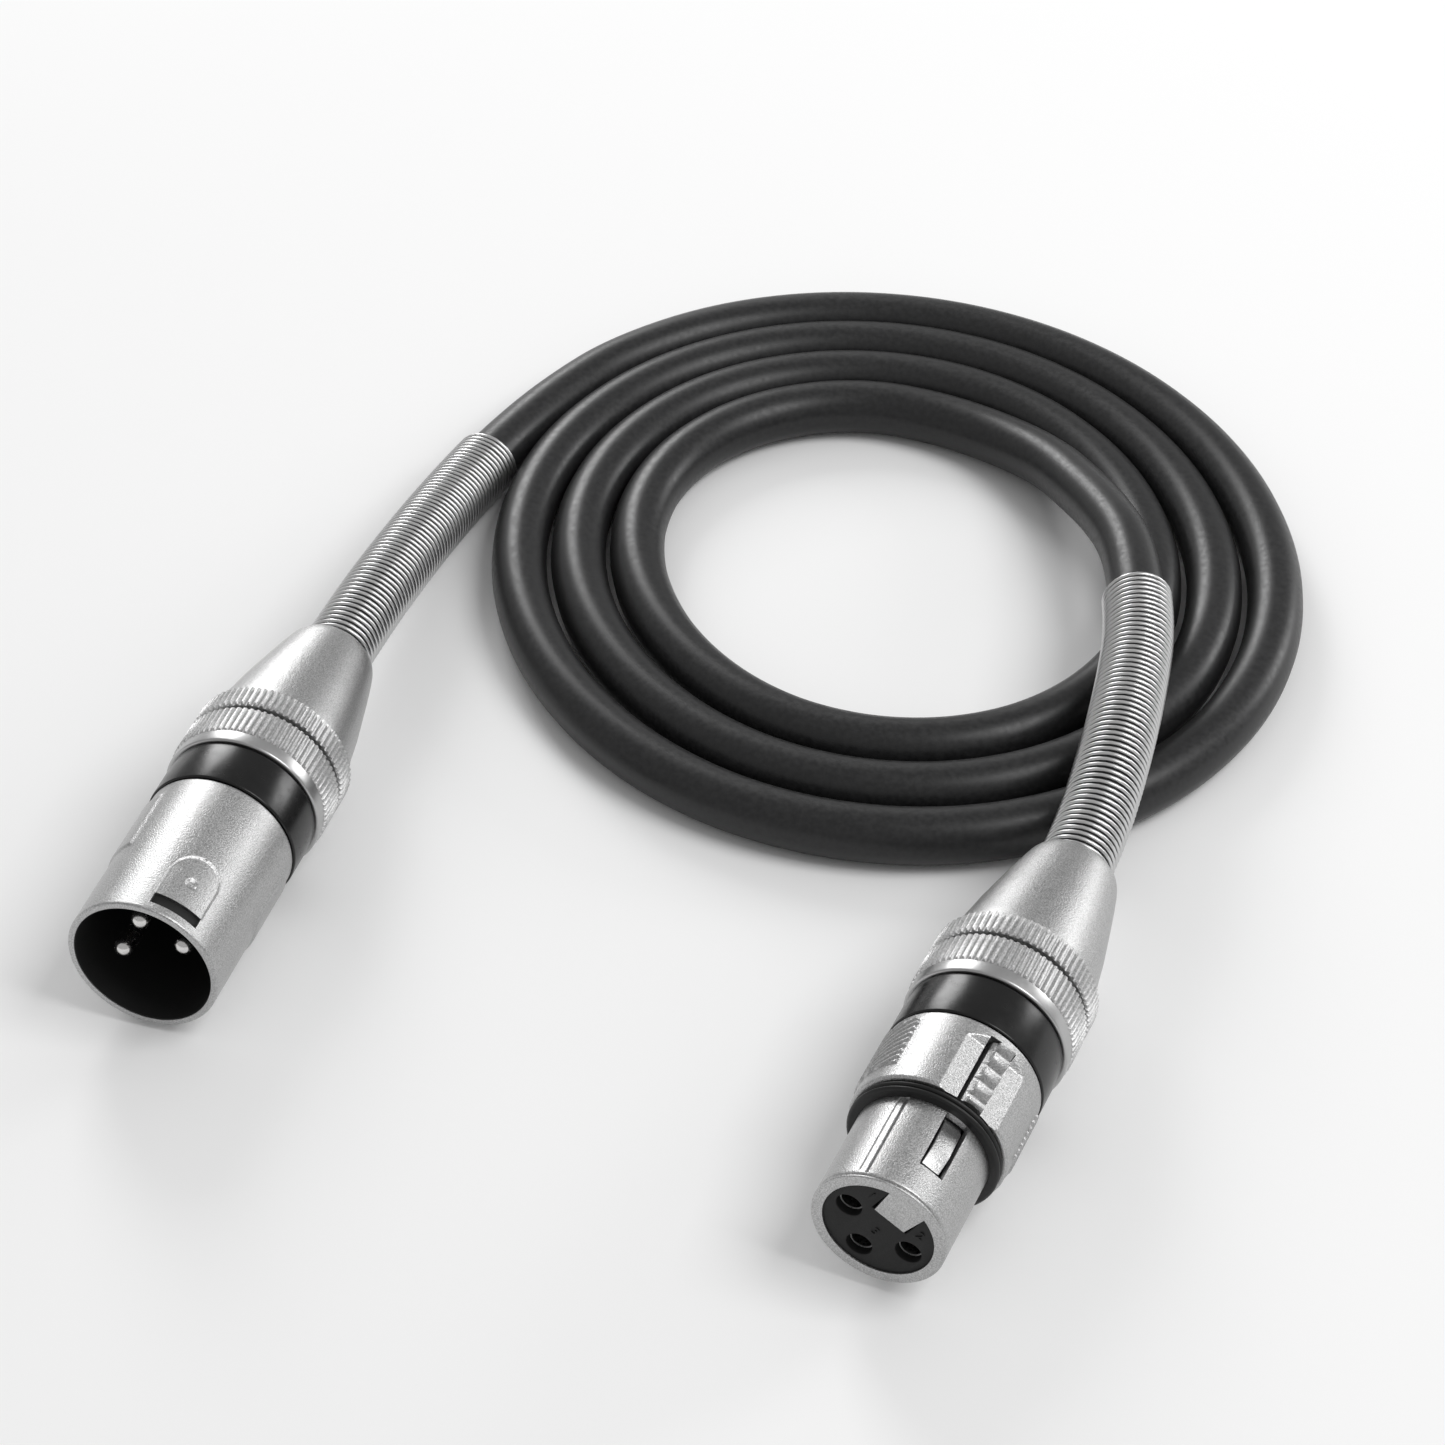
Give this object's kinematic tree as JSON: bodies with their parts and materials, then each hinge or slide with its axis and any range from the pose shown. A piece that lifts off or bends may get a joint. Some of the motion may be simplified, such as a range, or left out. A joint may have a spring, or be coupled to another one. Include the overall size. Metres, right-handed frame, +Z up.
{
  "type": "coiled microphone cable with plugs",
  "caption": "Short round microphone cable in a loose flat coil, joining a male and a female latching round plug with wire-wound strain reliefs.",
  "frame": {"origin": "on the surface that the cable lies on, under the middle of the two plugs' and strain-relief springs' bounding box", "axes": "+Z up from that surface; +Y along the male plug from its mating face towards its cable; +X to the right, towards the female plug"},
  "size_m": [0.1268, 0.1833, 0.0211],
  "materials": {
    "satin_nickel": "satin nickel plate on a die-cast body, fine grain",
    "latch_metal": "satin nickel plate",
    "black_plastic": "fine matt moulding",
    "gloss_black": "gloss",
    "black_rubber": "satin",
    "contact_plating": "bright silver plate",
    "spring_wire": "bright drawn wire",
    "clamp_plastic": "natural moulding",
    "conductor": "satin insulation",
    "cable_jacket": "satin flexible vinyl"
  },
  "bodies": {
    "root": {"male_shell": "satin_nickel", "male_insert": "black_plastic", "male_contact_pin_1": "contact_plating", "male_contact_pin_2": "contact_plating", "male_contact_pin_3": "contact_plating", "male_color_ring": "gloss_black", "male_lock_collar": "satin_nickel", "male_cable_clamp": "clamp_plastic", "male_conductors": "conductor", "male_strain_relief_spring": "spring_wire", "female_shell": "satin_nickel", "female_insert": "black_plastic", "female_socket_1": "contact_plating", "female_socket_2": "contact_plating", "female_socket_3": "contact_plating", "female_rubber_ring": "black_rubber", "female_latch_pin": "spring_wire", "female_latch_spring": "spring_wire", "female_color_ring": "gloss_black", "female_lock_collar": "satin_nickel", "female_cable_clamp": "clamp_plastic", "female_conductors": "conductor", "female_strain_relief_spring": "spring_wire", "cable_lead_male": "cable_jacket", "cable_coil": "cable_jacket", "cable_lead_female": "cable_jacket"},
    "latch": {"female_latch_lever": "latch_metal"},
    "male_nut": {"male_tail_nut": "satin_nickel"},
    "female_nut": {"female_tail_nut": "satin_nickel"}
  },
  "joints": [
    {"name": "female_latch_press", "type": "hinge", "parent": "root", "child": "latch", "pos_m": [0.05013, -0.04091, 0.01494], "axis": [0.8393, -0.0832, -0.5372], "range_deg": [0, 4], "stiffness_Nm_per_rad": 0.3, "springref_deg": -2.86, "deforming": ["female_latch_spring"]},
    {"name": "male_tail_nut_turn", "type": "hinge", "parent": "root", "child": "male_nut", "pos_m": [-0.049, -0.0053, 0.0104], "axis": [0, 1, 0], "range_deg": [0, 1440]},
    {"name": "female_tail_nut_turn", "type": "hinge", "parent": "root", "child": "female_nut", "pos_m": [0.04971, -0.01724, 0.01063], "axis": [0.1097, 0.9938, 0.0175], "range_deg": [0, 1440]}
  ]
}
